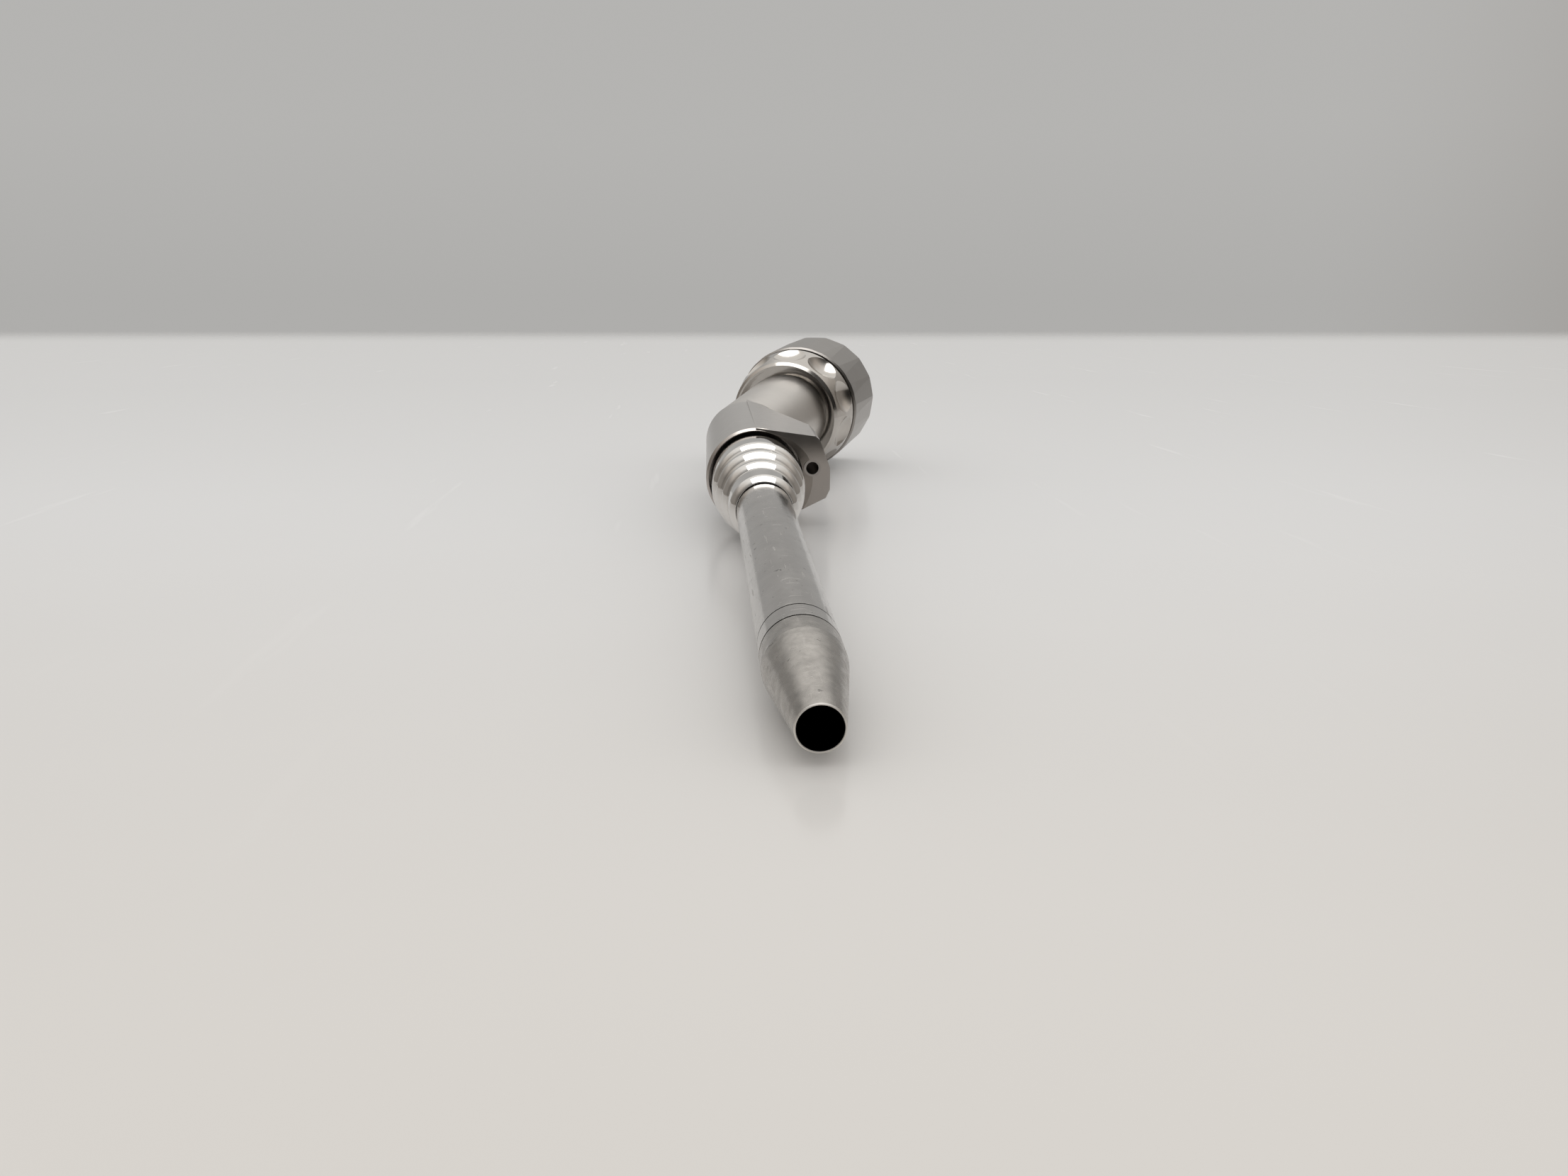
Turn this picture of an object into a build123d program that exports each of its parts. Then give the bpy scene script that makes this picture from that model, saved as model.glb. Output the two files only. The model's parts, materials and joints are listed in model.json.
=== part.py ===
from build123d import *
from math import atan2, cos, degrees, radians, sin, tan
import os

# An angled surgical handpiece head: a straight nose that holds a bur, a twist lock sleeve, an elbow
# housing with a spray port, and a tail whose socket takes a micromotor. It lies on its side on the
# ground, z = 0, nose towards -Y. Lengths are millimetres, angles are degrees.

# Driving dimensions
BARREL_R = 3.5
TOOL_R = 1.19
MOUTH_R = 1.72
NOSE_TO_BEND = 117.3
BEND = 20.0
NOSE_PITCH = 2.75
TAIL_PITCH = 4.9
TAIL_LENGTH = 47.3
HOUSING_R = 7.0
KNUCKLE_R = 6.65
NECK_R = 7.7
COLLAR_FRONT_R = 9.8
COLLAR_MOUTH_R = 9.0
RING_R = 11.5
SOCKET_R = 8.0
RUN = 0.05
GAP = 0.3

# Stations along the nose, from the mouth
CONE_END = 11.4
CAP_END = 14.8
BAND_END = 17.7
SLEEVE_START = 67.0
HOUSING_START = 87.5
LUG_START = 86.9
SLEEVE_END = 92.5
BARREL_END = 101.0

# Stations along the tail, from the bend
COLLAR_START = 22.8
COLLAR_END = 31.0
RING_START = 31.5
SEAL_STATIONS = (38.5, 45.0)

# Walls and shafts
TUBE_BORE = 2.9
SPIGOT_R = 3.2
SPINDLE_R = 1.9
SPINDLE_BORE = 1.55
TIP_R = 1.9
MOUTH_DEPTH = 10.4
COLLET_END = 32.0
GROOVE = 0.2
SLEEVE_REAR_R = 6.3
SLEEVE_POCKET_R = 6.6
RIM_RISE = 0.3
RIM_RUN = 0.5
CAVITY_R = 5.2
SHAFT_R = 2.2
PILOT_R = 7.2
LINER_R = 9.0

# The lock: turning the sleeve draws the collet back
LOCK_TURN = 45.0
DRAW = 1.0
CAM_STATION = 78.5
CAM_RING_R = 4.7
CAM_TRACK_R = 5.35
STOP_ANGLE = 200.0
STOP_PIN_R = 5.5
COLLAR_TURN = 30.0
PIN_R = 0.5

# The gears and grips
TEETH = 16
GEAR_R = 4.4
SCALLOPS = 10
SCALLOP_R = 5.4
SCALLOP_CENTRE_R = 14.7
SCALLOP_STATION = 26.5
FACETS = 18
FACET_APOTHEM = 11.36
INDEX_R = 10.0
INDEX_PIN_R = 0.6

# The spray port and the lug's brow, as offsets from the nose axis
PORT_X = 7.85
PORT_Y = -1.45
PORT_R = 0.875
BUSH_R = 1.2
BUSH_LENGTH = 8.0
LUG_BROW_Y = -2.2
LUG_BROW_R = 16.0


UP = (Align.CENTER, Align.CENTER, Align.MIN)
OUT = (Align.MIN, Align.CENTER, Align.CENTER)
ABOVE = (Align.CENTER, Align.MAX, Align.MIN)


def axis_frame(origin, yaw, pitch):
    """A frame whose Z runs rearwards along a part of the handpiece, X level to the right, Y down."""
    level = cos(radians(pitch))
    along = Vector(sin(radians(yaw)) * level, cos(radians(yaw)) * level, sin(radians(pitch)))
    right = Vector(cos(radians(yaw)), -sin(radians(yaw)), 0)
    return Plane(origin=origin, x_dir=right, z_dir=along)


NOSE = axis_frame((0, 0, 0), 0, NOSE_PITCH)
BEND_POINT = NOSE.from_local_coords(Vector(0, 0, NOSE_TO_BEND))
TAIL = axis_frame(BEND_POINT, BEND, TAIL_PITCH)
MITRE = Plane(origin=BEND_POINT, z_dir=NOSE.z_dir + TAIL.z_dir)


def inner_side(frame, other):
    """The angle, in a frame, of the inner side of the bend, where the gears mesh."""
    lean = other.z_dir
    if frame is TAIL:
        lean = -lean
    return degrees(atan2(lean.dot(frame.y_dir), lean.dot(frame.x_dir)))


def turned(*corners):
    """A solid turned about the local Z axis from (radius, station) corners."""
    outline = Polyline(*[(r, 0, z) for r, z in corners], close=True)
    return revolve(make_face(outline), Axis.Z)


def ring(inner, outer, start, end):
    """A plain ring or, with no inner radius, a rod."""
    return turned((inner, start), (outer, start), (outer, end), (inner, end))


def radial_pin(radius, inner, outer, station, angle):
    """A pin that points away from the axis at an angle."""
    pin = Pos(inner, 0, station) * Rot(0, 90, 0) * Cylinder(radius, outer - inner, align=UP)
    return Rot(0, 0, angle) * pin


def arc_slot(inner, outer, start, end, from_angle, to_angle):
    """A ring sector, the slot that a pin needs while its partner turns."""
    corners = [(inner, start), (outer, start), (outer, end), (inner, end)]
    outline = Polyline(*[(r, 0, z) for r, z in corners], close=True)
    sector = revolve(make_face(outline), Axis.Z, to_angle - from_angle)
    return Rot(0, 0, from_angle) * sector


# Nose

def nose_cap():
    spigot = CAP_END - 2.2
    return turned((MOUTH_R, 0.06), (MOUTH_R + 0.05, 0), (TIP_R - 0.07, 0), (TIP_R, 0.08),
                  (BARREL_R - 0.08, CONE_END - 0.4), (BARREL_R, CONE_END + 0.4), (BARREL_R, CAP_END - 0.05),
                  (BARREL_R - 0.05, CAP_END), (SPIGOT_R, CAP_END), (SPIGOT_R, spigot), (2.2, spigot),
                  (2.2, MOUTH_DEPTH - 1), (MOUTH_R, MOUTH_DEPTH - 1))


def nose_band():
    return ring(SPIGOT_R, BARREL_R, CAP_END + GROOVE, BAND_END)


def barrel():
    start = BAND_END + GROOVE
    spigot = CAP_END - 2.2
    tube = turned((TUBE_BORE, spigot), (SPIGOT_R, spigot), (SPIGOT_R, start), (BARREL_R, start),
                  (BARREL_R, BARREL_END), (TUBE_BORE, BARREL_END))
    slot = radial_pin(PIN_R + RUN, 2.0, 4.5, CAM_STATION, 90)
    slot += radial_pin(PIN_R + RUN, 2.0, 4.5, CAM_STATION + DRAW, 90)
    slot += Pos(0, 3.2, CAM_STATION + DRAW / 2) * Box(2 * (PIN_R + RUN), 2.4, DRAW)
    return tube - slot


def spindle():
    return ring(SPINDLE_BORE, SPINDLE_R, MOUTH_DEPTH, NOSE_TO_BEND - 4.0)


def collet():
    body = ring(TOOL_R, SPINDLE_BORE - RUN, MOUTH_DEPTH + 0.2, COLLET_END)
    for angle in (0, 60, 120):
        body -= Rot(0, 0, angle) * Pos(0, 0, MOUTH_DEPTH) * Box(4.0, 0.2, 20.0)
    return body


def drawbar():
    return ring(0, SPINDLE_BORE - RUN, COLLET_END, 84.0)


def bearing(name, inner, outer, station, width):
    """A deep groove ball bearing as three pieces: outer race, balls and inner race."""
    wall = (outer - inner) * 0.23
    ball_r = (outer - inner) * 0.27
    pitch_r = (inner + outer) / 2
    middle = station + width / 2
    groove = Pos(0, 0, middle) * Torus(pitch_r, ball_r + 0.03)
    count = int(2 * pitch_r * 3.14 / (ball_r * 2.5))
    ball = Pos(pitch_r, 0, middle) * Sphere(ball_r)
    balls = Compound([Rot(0, 0, 360 * n / count) * ball for n in range(count)])
    return {
        name + "_outer_race": ring(outer - wall, outer, station, station + width) - groove,
        name + "_balls": balls,
        name + "_inner_race": ring(inner, inner + wall, station, station + width) - groove,
    }


# Twist lock

def rib(r, z):
    """A rib's rounded front shoulder, which rises from the groove before it."""
    return ThreePointArc((r, 0, z), (r + 0.42, 0, z + 0.45), (r + 0.75, 0, z + 1.2))


def lock_sleeve():
    """The ribbed grip, a stepped cone: each rib has a rounded shoulder, a level land and a small groove."""
    grooves = [(3.62, SLEEVE_START), (4.45, 71.8), (5.1, 75.6)]
    shoulder = 79.6
    edges = []
    for (r, z), (next_r, next_z) in zip(grooves, grooves[1:] + [(SLEEVE_REAR_R - 0.6, shoulder)]):
        edges.append(rib(r, z))
        edges.append(Polyline((r + 0.75, 0, z + 1.2), (next_r + 0.12, 0, next_z - 0.35),
                              (next_r - 0.1, 0, next_z - 0.25), (next_r - 0.1, 0, next_z), (next_r, 0, next_z)))
    edges.append(ThreePointArc((SLEEVE_REAR_R - 0.6, 0, shoulder), (SLEEVE_REAR_R - 0.22, 0, shoulder + 0.45),
                               (SLEEVE_REAR_R, 0, shoulder + 1.2)))
    bore = BARREL_R + RUN
    pocket = CAM_RING_R + 0.1
    rest = [(SLEEVE_REAR_R, shoulder + 1.2), (SLEEVE_REAR_R, SLEEVE_END), (pocket, SLEEVE_END), (pocket, 76.0),
            (bore, 76.0), (bore, SLEEVE_START), (grooves[0][0], SLEEVE_START)]
    edges.append(Polyline(*[(r, 0, z) for r, z in rest]))
    body = revolve(make_face(edges), Axis.Z)
    body -= Pos(0, 0, SLEEVE_START + 2.2) * Torus(3.92, 0.36)
    body -= cam_track()
    return body - arc_slot(4.7, SLEEVE_REAR_R - 0.25, SLEEVE_END - 1.2, SLEEVE_END + 1,
                           STOP_ANGLE - LOCK_TURN - 5, STOP_ANGLE + 5)


def cam_track():
    """The slanted slot inside the sleeve, which pushes the cam pin along as the sleeve turns."""
    spans = 3
    arc = radians(LOCK_TURN / spans) * CAM_TRACK_R
    lean = degrees(atan2(DRAW / spans, arc))
    slot = Pos(4.4, 0, 0) * Rot(-lean, 0, 0) * Box(CAM_TRACK_R - 4.4, arc + 1.4, 2 * PIN_R + 0.25, align=OUT)
    cuts = []
    for n in range(spans):
        part = (n + 0.5) / spans
        cuts.append(Rot(0, 0, 90 - LOCK_TURN * part) * Pos(0, 0, CAM_STATION + DRAW * part) * slot)
    return cuts


def sleeve_seal():
    return Pos(0, 0, SLEEVE_START + 2.2) * Torus(3.87, 0.31)


def sleeve_stop_pin():
    return Rot(0, 0, STOP_ANGLE) * Pos(STOP_PIN_R, 0, SLEEVE_END - 0.7) * Cylinder(PIN_R - 0.1, 3.0, align=UP)


def cam_ring():
    body = ring(BARREL_R + RUN, CAM_RING_R, 76.3, 81.0)
    return body - radial_pin(PIN_R, 3.0, 6.0, CAM_STATION, 90)


def cam_pin():
    return radial_pin(PIN_R, 2.4, CAM_TRACK_R - 0.1, CAM_STATION, 90)


def thrust_sleeve():
    body = ring(SPINDLE_R + 0.07, TUBE_BORE - 0.07, 75.0, 82.0)
    return body - radial_pin(PIN_R, 2.4, 4.0, CAM_STATION, 90)


# Bend

def lug():
    """The side lug: flat front with a rounded brow, top and underside tangent to the housing, tapered rear."""
    depth = 46.0
    taper = 23.0
    section = Polyline((0, -HOUSING_R), (8.3, -5.85), (8.9, -5.35), (10.35, -1.4), (10.35, 1.6), (9.8, 2.8),
                       (3.1, 6.1), (0, 4.0), close=True)
    block = Pos(0, 0, LUG_START) * extrude(make_face(section), depth)
    block -= Pos(9.3, 0, LUG_START + 8.7) * Rot(0, -taper, 0) * Box(60, 40, 90, align=OUT)
    brow = Pos(0, LUG_BROW_Y, LUG_START - 1) * Box(60, 20, 4, align=ABOVE)
    brow -= Pos(0, LUG_BROW_Y, LUG_START + LUG_BROW_R) * Rot(0, 90, 0) * Cylinder(LUG_BROW_R, 60)
    return block - brow


def elbow_housing():
    body = turned((0, HOUSING_START), (HOUSING_R - RIM_RISE, HOUSING_START), (HOUSING_R, HOUSING_START + RIM_RUN),
                  (KNUCKLE_R, NOSE_TO_BEND), (KNUCKLE_R, NOSE_TO_BEND + 4), (0, NOSE_TO_BEND + 4))
    body += lug()
    body -= turned((0, LUG_START - 1), (7.9, LUG_START - 1), (7.9, LUG_START), (SLEEVE_POCKET_R, HOUSING_START),
                   (0, HOUSING_START))
    body -= ring(0, SLEEVE_POCKET_R, LUG_START, SLEEVE_END + GAP)
    body -= ring(0, BARREL_R, SLEEVE_END, BARREL_END + 1)
    body -= ring(0, CAVITY_R, BARREL_END, NOSE_TO_BEND + 6)
    body -= Pos(PORT_X, PORT_Y, LUG_START) * Cylinder(BUSH_R, BUSH_LENGTH, align=UP)
    body -= Pos(PORT_X, PORT_Y, LUG_START) * Cylinder(PORT_R, BUSH_LENGTH + 1, align=UP)
    return body - sleeve_stop_pin()


def port_bush():
    end = LUG_START + BUSH_LENGTH
    return Pos(PORT_X, PORT_Y, 0) * ring(PORT_R, BUSH_R, LUG_START, end)


def neck():
    body = turned((CAVITY_R, -4), (KNUCKLE_R, -4), (KNUCKLE_R, 0), (NECK_R, COLLAR_START - 0.4),
                  (PILOT_R, COLLAR_START), (PILOT_R, 34.0), (6.4, 34.0), (6.4, 28.0), (CAVITY_R, 28.0))
    body -= turned((6.9, 29.6), (8.0, 29.6), (8.0, 30.2), (6.9, 30.2))
    return body - radial_pin(PIN_R, 6.0, 9.0, 27.0, 90)


# Bevel gears: both pitch cones have their point at the bend

def gear_tooth():
    """One straight tooth that shrinks towards the point of the pitch cone, on a cone rising along +Z."""
    lean = BEND / 2
    sections = []
    for reach in (GEAR_R, GEAR_R * 0.58):
        size = reach / GEAR_R
        shape = Polyline((-0.5 * size, 0.5 * size), (0.5 * size, 0.5 * size), (0.2 * size, -0.3 * size),
                         (-0.2 * size, -0.3 * size), close=True)
        face = make_face(shape)
        place = Plane(origin=(reach * cos(radians(lean)), 0, reach * sin(radians(lean))), x_dir=(0, 1, 0),
                      z_dir=(cos(radians(lean)), 0, sin(radians(lean))))
        sections.append(place * face)
    return loft(sections)


def bevel_gear(first_angle, bore):
    """A bevel gear whose teeth face -Z from z > 0, with the cone's point at the origin."""
    root = tan(radians(BEND / 2)) * GEAR_R + 0.36
    slope = root / GEAR_R
    body = turned((bore, bore * slope), (GEAR_R, root), (GEAR_R, root + 2.2), (3.2, root + 6.0),
                  (bore, root + 6.0))
    tooth = gear_tooth()
    for n in range(TEETH):
        body += Rot(0, 0, first_angle + 360 * n / TEETH) * tooth
    return body


def spindle_gear():
    """The gear on the spindle's end, turned over so that its teeth face the bend."""
    gear = Rot(180, 0, 0) * bevel_gear(0, SPINDLE_R)
    return Pos(0, 0, NOSE_TO_BEND) * Rot(0, 0, inner_side(NOSE, TAIL)) * gear


def drive_gear():
    """The gear on the shaft's end, half a tooth round so that the two mesh."""
    return bevel_gear(inner_side(TAIL, NOSE) + 180 / TEETH, SHAFT_R)


# Tail

def drive_shaft():
    return ring(0, SHAFT_R, 3.2, 34.0)


def bearing_nut():
    return ring(3.6, 6.4, 28.0, 29.4)


def drive_dog():
    """The coupling that a motor's key drives: a hub with two claws."""
    hub = ring(SHAFT_R, 4.0, 31.0, 34.0) + ring(0, 4.0, 34.0, 35.0)
    for angle in (0, 180):
        hub += Rot(0, 0, angle) * Pos(2.9, 0, 35.0) * Box(1.8, 2.4, 2.0, align=UP)
    return hub


def scalloped_collar():
    body = turned((COLLAR_MOUTH_R, COLLAR_START), (COLLAR_FRONT_R - 0.5, COLLAR_START), (COLLAR_FRONT_R, COLLAR_START + 0.5),
                  (10.6, COLLAR_START + 4.0), (11.05, COLLAR_END - 0.6), (10.85, COLLAR_END), (8.4, COLLAR_END),
                  (8.4, 29.5), (PILOT_R + RUN, 29.5), (PILOT_R + RUN, 25.0), (COLLAR_MOUTH_R, 25.0))
    scallop = Pos(SCALLOP_CENTRE_R, 0, SCALLOP_STATION) * Sphere(SCALLOP_R)
    for n in range(SCALLOPS):
        body -= Rot(0, 0, 360 * n / SCALLOPS - 90) * scallop
    return body - arc_slot(7.0, 8.9, 26.4, 27.6, 90 - COLLAR_TURN - 5, 95)


def collar_stop_pin():
    return radial_pin(PIN_R, 6.5, 8.7, 27.0, 90)


def collar_clip():
    clip = ring(6.9, 7.9, 29.65, 30.15)
    return clip - Pos(0, -7.4, 29.9) * Box(3.0, 2.0, 2.0)


def rear_ring():
    body = turned((LINER_R, RING_START), (11.1, RING_START), (RING_R - 0.1, RING_START + 0.3),
                  (RING_R, TAIL_LENGTH - 0.8), (RING_R - 0.8, TAIL_LENGTH), (LINER_R, TAIL_LENGTH))
    for n in range(FACETS):
        facet = Pos(FACET_APOTHEM, 0, RING_START) * Box(4, 12, 60, align=OUT)
        body -= Rot(0, 0, 360 * n / FACETS - 90) * facet
    return body - index_hole()


def index_hole():
    return Pos(0, -INDEX_R, TAIL_LENGTH - 3) * Cylinder(INDEX_PIN_R, 5, align=UP)


def index_pin():
    return Pos(0, -INDEX_R, TAIL_LENGTH - 3) * Cylinder(INDEX_PIN_R, 3.8, align=UP)


def socket_liner():
    body = turned((PILOT_R, 31.4), (LINER_R, 31.4), (LINER_R, TAIL_LENGTH - 0.3), (SOCKET_R + 0.4, TAIL_LENGTH - 0.3),
                  (SOCKET_R, TAIL_LENGTH - 0.8), (SOCKET_R, 34.0), (PILOT_R, 34.0))
    for station in SEAL_STATIONS:
        body -= Pos(0, 0, station) * Torus(SOCKET_R + 0.3, 0.42)
    return body


def socket_seal(station):
    return Pos(0, 0, station) * Torus(SOCKET_R + 0.3, 0.24)


def nose_pieces():
    pieces = {
        "nose_cap": nose_cap(), "nose_band": nose_band(), "barrel": barrel(), "spindle": spindle(),
        "collet": collet(), "drawbar": drawbar(), "lock_sleeve": lock_sleeve(), "sleeve_seal": sleeve_seal(),
        "sleeve_stop_pin": sleeve_stop_pin(), "cam_ring": cam_ring(), "cam_pin": cam_pin(),
        "thrust_sleeve": thrust_sleeve(), "elbow_housing": elbow_housing(), "port_bush": port_bush(),
        "spindle_gear": spindle_gear(),
    }
    pieces.update(bearing("nose_bearing", SPINDLE_R, TUBE_BORE, 13.0, 2.0))
    pieces.update(bearing("mid_bearing", SPINDLE_R, TUBE_BORE, 97.0, 2.0))
    return pieces


def tail_pieces():
    pieces = {
        "neck": neck(), "drive_gear": drive_gear(), "drive_shaft": drive_shaft(), "bearing_nut": bearing_nut(),
        "drive_dog": drive_dog(), "scalloped_collar": scalloped_collar(), "collar_stop_pin": collar_stop_pin(),
        "collar_clip": collar_clip(), "rear_ring": rear_ring(), "index_pin": index_pin(),
        "socket_liner": socket_liner(), "socket_seal_1": socket_seal(SEAL_STATIONS[0]),
        "socket_seal_2": socket_seal(SEAL_STATIONS[1]),
    }
    pieces.update(bearing("drive_bearing", SHAFT_R, CAVITY_R, 9.5, 3.5))
    pieces.update(bearing("tail_bearing", SHAFT_R, CAVITY_R, 24.0, 3.5))
    return pieces


def assembly():
    """Every piece in place, resting on the ground, with the whole box centred over the origin."""
    placed = {name: NOSE.location * shape for name, shape in nose_pieces().items()}
    placed.update({name: TAIL.location * shape for name, shape in tail_pieces().items()})
    placed["elbow_housing"] = split(placed["elbow_housing"], bisect_by=MITRE, keep=Keep.BOTTOM)
    placed["neck"] = split(placed["neck"], bisect_by=MITRE, keep=Keep.TOP)
    box = Compound(list(placed.values())).bounding_box()
    shift = Pos(-box.center().X, -box.center().Y, -box.min.Z)
    return {name: shift * shape for name, shape in placed.items()}, shift


def main():
    os.makedirs("parts", exist_ok=True)
    pieces, _ = assembly()
    for name, shape in pieces.items():
        export_step(shape, "parts/" + name + ".step")


main()
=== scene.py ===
import bpy
import json
from math import cos, radians, sin
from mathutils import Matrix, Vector

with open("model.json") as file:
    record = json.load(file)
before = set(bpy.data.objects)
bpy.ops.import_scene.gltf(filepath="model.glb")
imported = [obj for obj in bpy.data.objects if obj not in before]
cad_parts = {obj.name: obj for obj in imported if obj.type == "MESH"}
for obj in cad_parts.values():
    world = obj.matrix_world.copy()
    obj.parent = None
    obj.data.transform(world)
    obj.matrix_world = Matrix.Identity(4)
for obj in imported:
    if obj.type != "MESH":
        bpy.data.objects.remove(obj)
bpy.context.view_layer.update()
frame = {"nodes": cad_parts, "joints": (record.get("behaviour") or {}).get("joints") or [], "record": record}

MM = 0.001

# The frame's own places: the nose axis, the bend at its rear end and the mouth at its front end.
JOINTS = {joint["name"]: joint for joint in frame["joints"]}
NOSE_AXIS = Vector(JOINTS["spindle_spin"]["axis"]).normalized()
BEND = Vector(JOINTS["drive_spin"]["pos_m"])
NOSE_LENGTH = 117.3
TIP = BEND - NOSE_AXIS * NOSE_LENGTH * MM

# The bore is painted dark as shade and is just wider than the mouth; the lip, the very front of the nose, is
# painted light as a highlight.
BORE_R = 1.735 * MM
LIP_DEPTH = 0.09 * MM
LIP_HIGHLIGHT_TINT = (0.80, 0.77, 0.73)
BORE_SHADE_TINT = (0.03, 0.032, 0.036)

# The camera stands close in front of the mouth, a little to the left, and looks down at the table.
CAMERA_FROM_TIP = Vector((-8.2, -76.4, 29.2)) * MM
CAMERA_TURN = 4.23
CAMERA_DIP = 14.0
CAMERA_LENS = 27.03

# The table's far edge fades into the wall behind it.
TABLE_NEAR = 0.66
TABLE_FAR = 0.98
TABLE_HALF = 5.0
TABLE_DROP = 0.00002
# The table is painted darker towards the camera and lighter further back: painted shade and light.
TABLE_SHADED_TINT_NEAR = (0.69, 0.662, 0.622)
TABLE_LIT_TINT_FAR = (0.865, 0.86, 0.852)

# One rectangular softbox hangs over the part. It makes the sharp highlights.
LIGHT_PLACE = (0, 0.03, 0.42)
LIGHT_AIM = (0, 0.03, 0)
LIGHT_SIZE = (0.42, 0.33)
LIGHT_POWER = 1.1

# The sky's grey by height, from straight down to straight up, and its glow for diffuse light.
WALL_TONES = [(0.0, 0.42), (0.5, 0.428), (0.56, 0.46), (0.66, 0.46), (0.71, 0.62), (0.77, 0.95), (0.95, 1.1)]
CAMERA_SIDE = 0.1
SIDE_TINT = (0.66, 0.62, 0.585)
TENT_GLOW = (0.952, 0.942, 0.932)


# Nodes

class Shader:
    """A material's node tree, with short calls for the nodes that the metals share."""

    def __init__(self, name):
        self.material = bpy.data.materials.new(name)
        self.material.use_nodes = True
        self.tree = self.material.node_tree
        self.tree.nodes.clear()
        self.output = self.node("ShaderNodeOutputMaterial")

    def node(self, kind, **values):
        made = self.tree.nodes.new(kind)
        for key, value in values.items():
            setattr(made, key, value)
        return made

    def link(self, source, target):
        self.tree.links.new(source, target)

    def place(self, scale=(1, 1, 1), turn=(0, 0, 0)):
        """Object coordinates, stretched by scale."""
        where = self.node("ShaderNodeTexCoord")
        mapping = self.node("ShaderNodeMapping")
        mapping.inputs["Scale"].default_value = scale
        mapping.inputs["Rotation"].default_value = turn
        self.link(where.outputs["Object"], mapping.inputs["Vector"])
        return mapping.outputs["Vector"]

    def noise(self, vector, scale, detail=3.0, roughness=0.5, distortion=0.0):
        made = self.node("ShaderNodeTexNoise")
        made.inputs["Scale"].default_value = scale
        made.inputs["Detail"].default_value = detail
        made.inputs["Roughness"].default_value = roughness
        made.inputs["Distortion"].default_value = distortion
        self.link(vector, made.inputs["Vector"])
        return made.outputs["Fac"]

    def ramp(self, value, stops):
        """A colour ramp; a stop's value is a grey or a colour."""
        made = self.node("ShaderNodeValToRGB")
        ramp = made.color_ramp
        while len(ramp.elements) < len(stops):
            ramp.elements.new(0.5)
        for element, (place, tone) in zip(ramp.elements, stops):
            element.position = place
            element.color = (*tone, 1) if isinstance(tone, tuple) else (tone, tone, tone, 1)
        self.link(value, made.inputs["Fac"])
        return made.outputs["Color"]

    def math(self, operation, a, b=None):
        made = self.node("ShaderNodeMath", operation=operation)
        for socket, value in zip(made.inputs, (a, b)):
            if value is None:
                continue
            if isinstance(value, (int, float)):
                socket.default_value = value
            else:
                self.link(value, socket)
        return made.outputs[0]

    def mix(self, factor, a, b):
        made = self.node("ShaderNodeMix", data_type="RGBA")
        for socket, value in zip((made.inputs["Factor"], made.inputs["A"], made.inputs["B"]), (factor, a, b)):
            if isinstance(value, (int, float)):
                socket.default_value = value
            elif isinstance(value, tuple):
                socket.default_value = (*value, 1)
            else:
                self.link(value, socket)
        return made.outputs["Result"]

    def bump(self, height, strength, distance, normal=None):
        made = self.node("ShaderNodeBump")
        made.inputs["Strength"].default_value = strength
        made.inputs["Distance"].default_value = distance
        self.link(height, made.inputs["Height"])
        if normal is not None:
            self.link(normal, made.inputs["Normal"])
        return made.outputs["Normal"]

    def finish(self, shader):
        self.link(shader, self.output.inputs["Surface"])
        return self.material


def metal(name, tint, rough, spread, scratches=0.5, stain=0.12, mottle=1.0):
    """Steel with fine grain, hairline scratches, pits and faint cloudy stains. A larger mottle makes the
    clouds smaller. Gives the shader, its colour and its roughness, for the caller to finish."""
    s = Shader(name)
    plain = s.place()
    cloud = s.noise(plain, 260.0 * mottle, 5.0, 0.65, 0.3 / mottle)
    patches = s.noise(plain, 900.0, 4.0, 0.65, 0.3)
    fine = s.noise(plain, 6000.0, 2.0, 0.6)
    lines = s.noise(s.place((1, 0.05, 1), (0.2, 0.1, 0.35)), 3200.0, 2.0, 0.5)
    cross = s.noise(s.place((0.05, 1, 1), (0.1, 0.3, -0.5)), 2800.0, 2.0, 0.5)
    hair_along = s.ramp(lines, [(0.66, 0.0), (0.7, 1.0)])
    hair_across = s.ramp(cross, [(0.68, 0.0), (0.72, 1.0)])
    hair = s.math("MAXIMUM", hair_along, hair_across)
    hair = s.math("MULTIPLY", hair, scratches)
    pits = s.ramp(s.noise(plain, 1500.0, 2.0, 0.6), [(0.27, 1.0), (0.31, 0.0)])
    pits = s.math("MULTIPLY", pits, scratches)
    shade = s.ramp(cloud, [(0.35, 0.0), (0.65, 1.0)])
    colour = s.mix(shade, tuple(channel * (1 - stain) for channel in tint), tint)
    colour = s.mix(s.math("MULTIPLY", pits, 0.6), colour, tuple(channel * 0.3 for channel in tint))
    s.bsdf = s.node("ShaderNodeBsdfPrincipled")
    s.bsdf.inputs["Metallic"].default_value = 1.0
    level = s.ramp(patches, [(0.38, rough - spread), (0.62, rough + spread)])
    level = s.math("ADD", level, s.math("MULTIPLY", hair, 0.08))
    relief = s.bump(fine, 0.05, 0.00001)
    relief = s.bump(hair, 0.2, 0.000008, relief)
    relief = s.bump(pits, 0.4, 0.00002, relief)
    s.link(relief, s.bsdf.inputs["Normal"])
    return s, colour, level


def steel(*values):
    s, colour, level = metal(*values)
    s.link(colour, s.bsdf.inputs["Base Color"])
    s.link(level, s.bsdf.inputs["Roughness"])
    return s.finish(s.bsdf.outputs[0])


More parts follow.
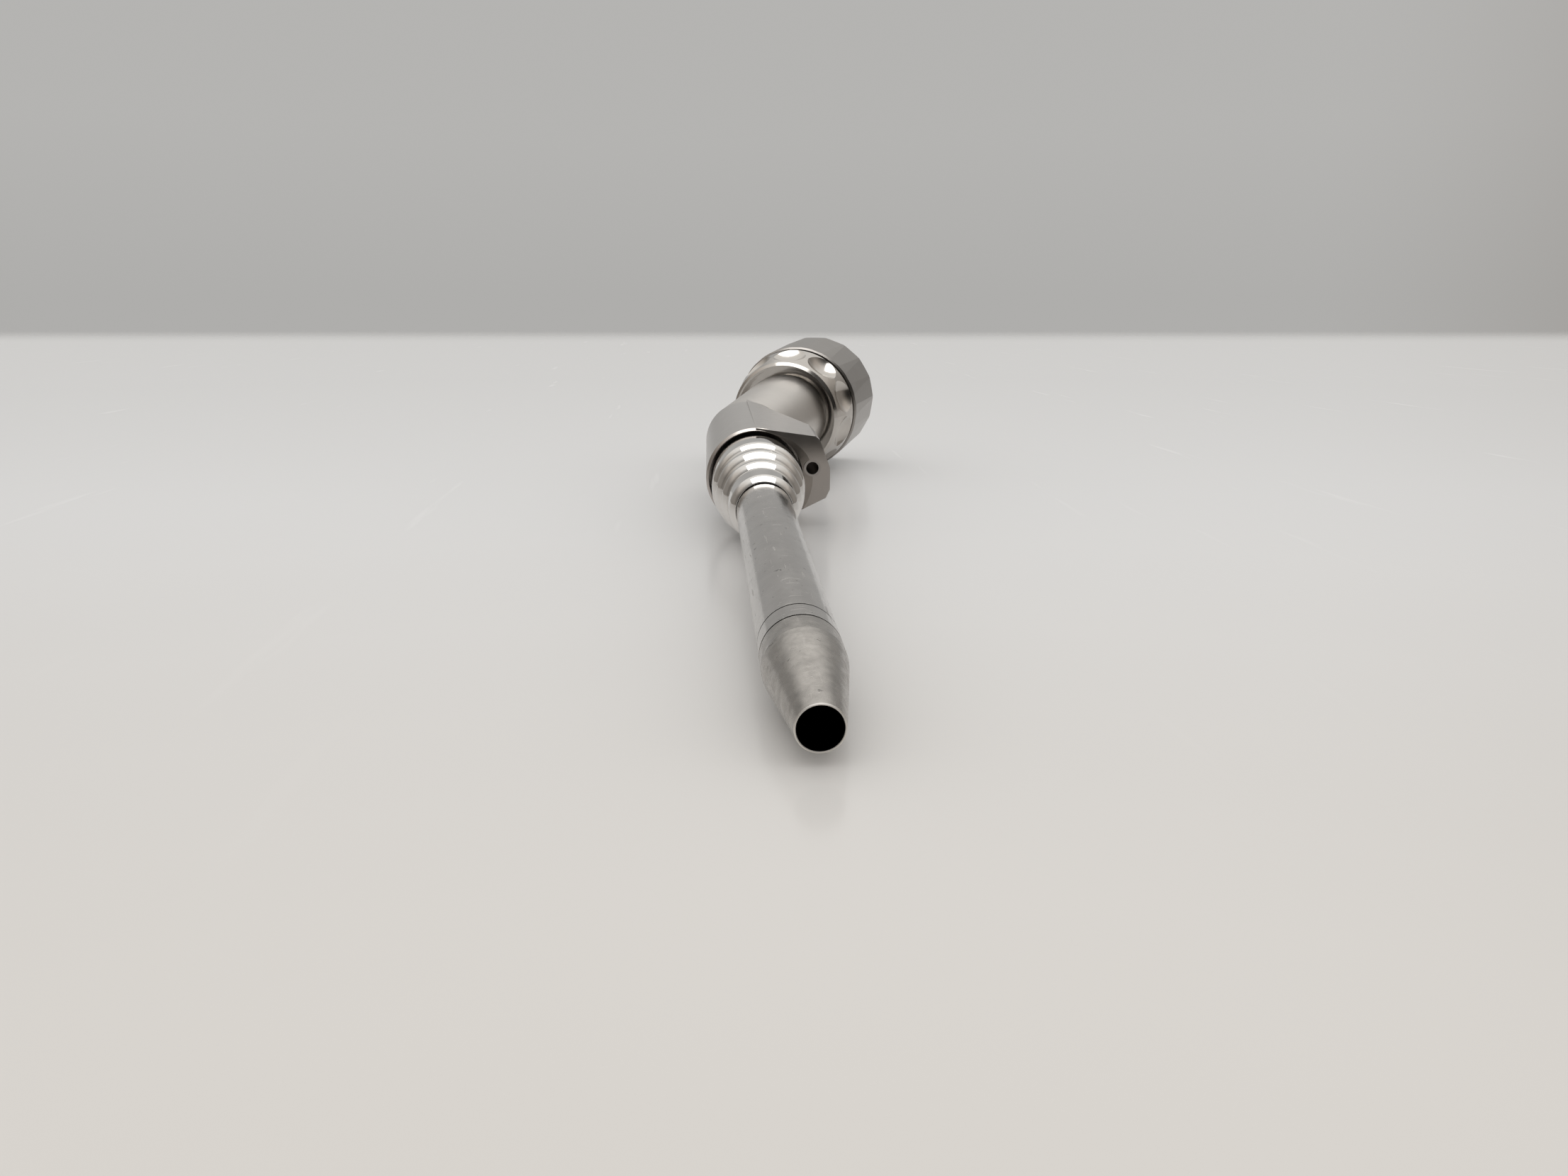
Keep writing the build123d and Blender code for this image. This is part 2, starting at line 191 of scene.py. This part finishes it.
def bored_steel(*values):
    """Steel whose nose bore is painted dark as shade and whose lip is painted light as a highlight."""
    s, colour, level = metal(*values)
    away = s.node("ShaderNodeVectorMath", operation="SUBTRACT")
    s.link(s.node("ShaderNodeTexCoord").outputs["Object"], away.inputs[0])
    away.inputs[1].default_value = TIP
    cross = s.node("ShaderNodeVectorMath", operation="CROSS_PRODUCT")
    s.link(away.outputs[0], cross.inputs[0])
    cross.inputs[1].default_value = NOSE_AXIS
    length = s.node("ShaderNodeVectorMath", operation="LENGTH")
    s.link(cross.outputs[0], length.inputs[0])
    along = s.node("ShaderNodeVectorMath", operation="DOT_PRODUCT")
    s.link(away.outputs[0], along.inputs[0])
    along.inputs[1].default_value = NOSE_AXIS
    lip = s.math("LESS_THAN", along.outputs["Value"], LIP_DEPTH)
    inside = s.math("LESS_THAN", length.outputs["Value"], BORE_R)
    # The lip is painted light as a highlight and the bore is painted dark as shade.
    colour = s.mix(lip, colour, LIP_HIGHLIGHT_TINT)
    s.link(s.mix(inside, colour, BORE_SHADE_TINT), s.bsdf.inputs["Base Color"])
    s.link(s.mix(lip, level, (0.5, 0.5, 0.5)), s.bsdf.inputs["Roughness"])
    return s.finish(s.bsdf.outputs[0])


def faced_and_shaded_steel(face_shade_tint, *values):
    """Steel whose faces across the nose axis, turned to the front, are painted darker and browner: partly
    their machined finish, partly painted shade.
    """
    s, colour, level = metal(*values)
    facing = s.node("ShaderNodeVectorMath", operation="DOT_PRODUCT")
    s.link(s.node("ShaderNodeTexCoord").outputs["Normal"], facing.inputs[0])
    facing.inputs[1].default_value = -NOSE_AXIS
    # Faces turned to the front are painted darker and browner, partly as painted shade.
    face = s.math("GREATER_THAN", facing.outputs["Value"], 0.5)
    s.link(s.mix(face, colour, face_shade_tint), s.bsdf.inputs["Base Color"])
    s.link(level, s.bsdf.inputs["Roughness"])
    return s.finish(s.bsdf.outputs[0])


def rubber(name):
    s = Shader(name)
    speck = s.noise(s.place(), 3000.0, 3.0)
    bsdf = s.node("ShaderNodeBsdfPrincipled")
    s.link(s.ramp(speck, [(0.3, 0.012), (0.7, 0.03)]), bsdf.inputs["Base Color"])
    s.link(s.ramp(speck, [(0.3, 0.5), (0.7, 0.65)]), bsdf.inputs["Roughness"])
    s.link(s.bump(speck, 0.2, 0.00003), bsdf.inputs["Normal"])
    return s.finish(bsdf.outputs[0])


def paint(node, material):
    thing = frame["nodes"][node]
    thing.data.materials.clear()
    thing.data.materials.append(material)


def dress_nodes():
    satin = steel("satin_steel", (0.51, 0.49, 0.468), 0.14, 0.03, 2.2, 0.14)
    blasted = faced_and_shaded_steel((0.44, 0.405, 0.375), "blasted_steel", (0.53, 0.51, 0.49), 0.3, 0.02, 0.06, 0.03)
    neck = steel("neck_steel", (0.63, 0.60, 0.565), 0.3, 0.02, 0.06, 0.04)
    nose = bored_steel("nose_steel", (0.42, 0.397, 0.37), 0.26, 0.07, 1.0, 0.22, 4.0)
    bush = steel("bush_steel", (0.40, 0.37, 0.345), 0.3, 0.02, 0.06, 0.05)
    bright = steel("bright_steel", (0.68, 0.66, 0.635), 0.06, 0.015, 0.2, 0.05)
    collar = steel("collar_steel", (0.53, 0.50, 0.465), 0.14, 0.03, 0.2, 0.06)
    ring = steel("ring_steel", (0.32, 0.30, 0.28), 0.3, 0.01, 0.05, 0.03)
    inner = bored_steel("inner_steel", (0.42, 0.41, 0.40), 0.3, 0.06, 0.5, 0.15)
    chrome = steel("bearing_steel", (0.72, 0.72, 0.72), 0.1, 0.04, 0.2, 0.05)
    chosen = {"satin_steel": satin, "polished_steel": bright, "inner_steel": inner, "bearing_steel": chrome,
              "seal_rubber": rubber("seal_rubber")}
    for entry in frame["record"]["subparts"]:
        paint(entry["node"], chosen[entry["material_slot"]])
    for node, material in {"nose_cap": nose, "elbow_housing": blasted, "neck": neck, "rear_ring": ring,
                           "port_bush": bush, "scalloped_collar": collar}.items():
        paint(node, material)


# Stage

def table():
    """A glossy pale table, painted darker towards the camera and lighter further back as painted shade and
    light, whose far edge fades out.
    """
    mesh = bpy.data.meshes.new("table")
    corners = [(-TABLE_HALF, -TABLE_HALF, 0), (TABLE_HALF, -TABLE_HALF, 0), (TABLE_HALF, TABLE_HALF, 0),
               (-TABLE_HALF, TABLE_HALF, 0)]
    mesh.from_pydata(corners, [], [(0, 1, 2, 3)])
    thing = bpy.data.objects.new("table", mesh)
    bpy.context.collection.objects.link(thing)
    thing.location.z = -TABLE_DROP
    s = Shader("table_top")
    place = s.node("ShaderNodeTexCoord").outputs["Object"]
    bsdf = s.node("ShaderNodeBsdfPrincipled")
    cloud = s.noise(place, 9.0, 2.0)
    wear = s.noise(s.place((1, 0.08, 1), (0, 0, 0.9)), 140.0, 3.0, 0.6)
    s.link(s.ramp(wear, [(0.66, 0.2), (0.72, 0.25)]), bsdf.inputs["Roughness"])
    bsdf.inputs["Specular IOR Level"].default_value = 0.4
    split = s.node("ShaderNodeSeparateXYZ")
    s.link(place, split.inputs[0])
    turn = radians(CAMERA_TURN)
    ahead = s.math("ADD", s.math("MULTIPLY", split.outputs["X"], sin(turn)),
                   s.math("MULTIPLY", split.outputs["Y"], cos(turn)))
    # Painted shade towards the camera, painted light further back.
    shade_to_light = s.node("ShaderNodeMapRange", interpolation_type="SMOOTHSTEP")
    s.link(s.math("ADD", ahead, s.math("MULTIPLY", cloud, 0.02)), shade_to_light.inputs["Value"])
    shade_to_light.inputs["From Min"].default_value = -0.15
    shade_to_light.inputs["From Max"].default_value = 0.05
    s.link(s.mix(shade_to_light.outputs[0], TABLE_SHADED_TINT_NEAR, TABLE_LIT_TINT_FAR), bsdf.inputs["Base Color"])
    fade = s.node("ShaderNodeMapRange", interpolation_type="SMOOTHSTEP")
    s.link(ahead, fade.inputs["Value"])
    fade.inputs["From Min"].default_value = TABLE_NEAR
    fade.inputs["From Max"].default_value = TABLE_FAR
    clear = s.node("ShaderNodeBsdfTransparent")
    blend = s.node("ShaderNodeMixShader")
    s.link(fade.outputs[0], blend.inputs[0])
    s.link(bsdf.outputs[0], blend.inputs[1])
    s.link(clear.outputs[0], blend.inputs[2])
    thing.data.materials.append(s.finish(blend.outputs[0]))


def surroundings():
    """The light tent as a sky: a grey wall ahead, dim sides, a dark side behind the camera, and, for the
    diffuse light only, an even pale glow."""
    world = bpy.data.worlds.new("tent")
    bpy.context.scene.world = world
    world.use_nodes = True
    tree = world.node_tree
    tree.nodes.clear()

    def node(kind, **values):
        made = tree.nodes.new(kind)
        for key, value in values.items():
            setattr(made, key, value)
        return made

    def ranged(source, low, high, first, last):
        made = node("ShaderNodeMapRange", interpolation_type="SMOOTHSTEP")
        for socket, value in zip(("From Min", "From Max", "To Min", "To Max"), (low, high, first, last)):
            made.inputs[socket].default_value = value
        tree.links.new(source, made.inputs["Value"])
        return made.outputs[0]

    def multiplied(a, b):
        made = node("ShaderNodeMix", data_type="RGBA", blend_type="MULTIPLY")
        made.inputs["Factor"].default_value = 1.0
        tree.links.new(a, made.inputs["A"])
        tree.links.new(b, made.inputs["B"])
        return made.outputs["Result"]

    out = node("ShaderNodeOutputWorld")
    back = node("ShaderNodeBackground")
    split = node("ShaderNodeSeparateXYZ")
    tree.links.new(node("ShaderNodeTexCoord").outputs["Generated"], split.inputs[0])
    height = node("ShaderNodeValToRGB")
    ramp = height.color_ramp
    while len(ramp.elements) < len(WALL_TONES):
        ramp.elements.new(0.5)
    for element, (place, tone) in zip(ramp.elements, WALL_TONES):
        element.position = place
        element.color = (tone, tone * 0.988, tone * 0.962, 1)
    height_of = node("ShaderNodeMapRange")
    height_of.inputs["From Min"].default_value = -1
    tree.links.new(split.outputs["Z"], height_of.inputs["Value"])
    tree.links.new(height_of.outputs[0], height.inputs["Fac"])
    seen = multiplied(height.outputs["Color"], ranged(split.outputs["Y"], -0.5, 0.15, CAMERA_SIDE, 1.0))
    aside = node("ShaderNodeMath", operation="ABSOLUTE")
    tree.links.new(split.outputs["X"], aside.inputs[0])
    tint = node("ShaderNodeValToRGB")
    tint.color_ramp.elements[0].color = (1, 1, 1, 1)
    tint.color_ramp.elements[1].color = (*SIDE_TINT, 1)
    tree.links.new(ranged(aside.outputs[0], 0.45, 0.85, 0.0, 1.0), tint.inputs["Fac"])
    seen = multiplied(seen, tint.outputs["Color"])
    split_rays = node("ShaderNodeMix", data_type="RGBA")
    tree.links.new(node("ShaderNodeLightPath").outputs["Is Diffuse Ray"], split_rays.inputs["Factor"])
    tree.links.new(seen, split_rays.inputs["A"])
    split_rays.inputs["B"].default_value = (*TENT_GLOW, 1)
    tree.links.new(split_rays.outputs["Result"], back.inputs["Color"])
    tree.links.new(back.outputs[0], out.inputs["Surface"])


def softbox():
    light = bpy.data.lights.new("ceiling", "AREA")
    light.shape = "RECTANGLE"
    light.size, light.size_y = LIGHT_SIZE
    light.energy = LIGHT_POWER
    thing = bpy.data.objects.new("ceiling", light)
    bpy.context.collection.objects.link(thing)
    thing.location = LIGHT_PLACE
    thing.rotation_mode = "QUATERNION"
    thing.rotation_quaternion = (Vector(LIGHT_AIM) - Vector(LIGHT_PLACE)).to_track_quat("-Z", "Y")
    thing.visible_diffuse = False


def camera():
    data = bpy.data.cameras.new("camera")
    data.lens = CAMERA_LENS
    data.sensor_width = 36.0
    data.clip_start = 0.005
    data.clip_end = 30.0
    thing = bpy.data.objects.new("camera", data)
    bpy.context.collection.objects.link(thing)
    thing.location = TIP + CAMERA_FROM_TIP
    turn, dip = radians(CAMERA_TURN), radians(CAMERA_DIP)
    ahead = Vector((sin(turn) * cos(dip), cos(turn) * cos(dip), -sin(dip)))
    thing.rotation_mode = "QUATERNION"
    thing.rotation_quaternion = ahead.to_track_quat("-Z", "Y")
    bpy.context.scene.camera = thing


dress_nodes()
table()
surroundings()
softbox()
camera()
bpy.context.scene.view_settings.view_transform = "Standard"
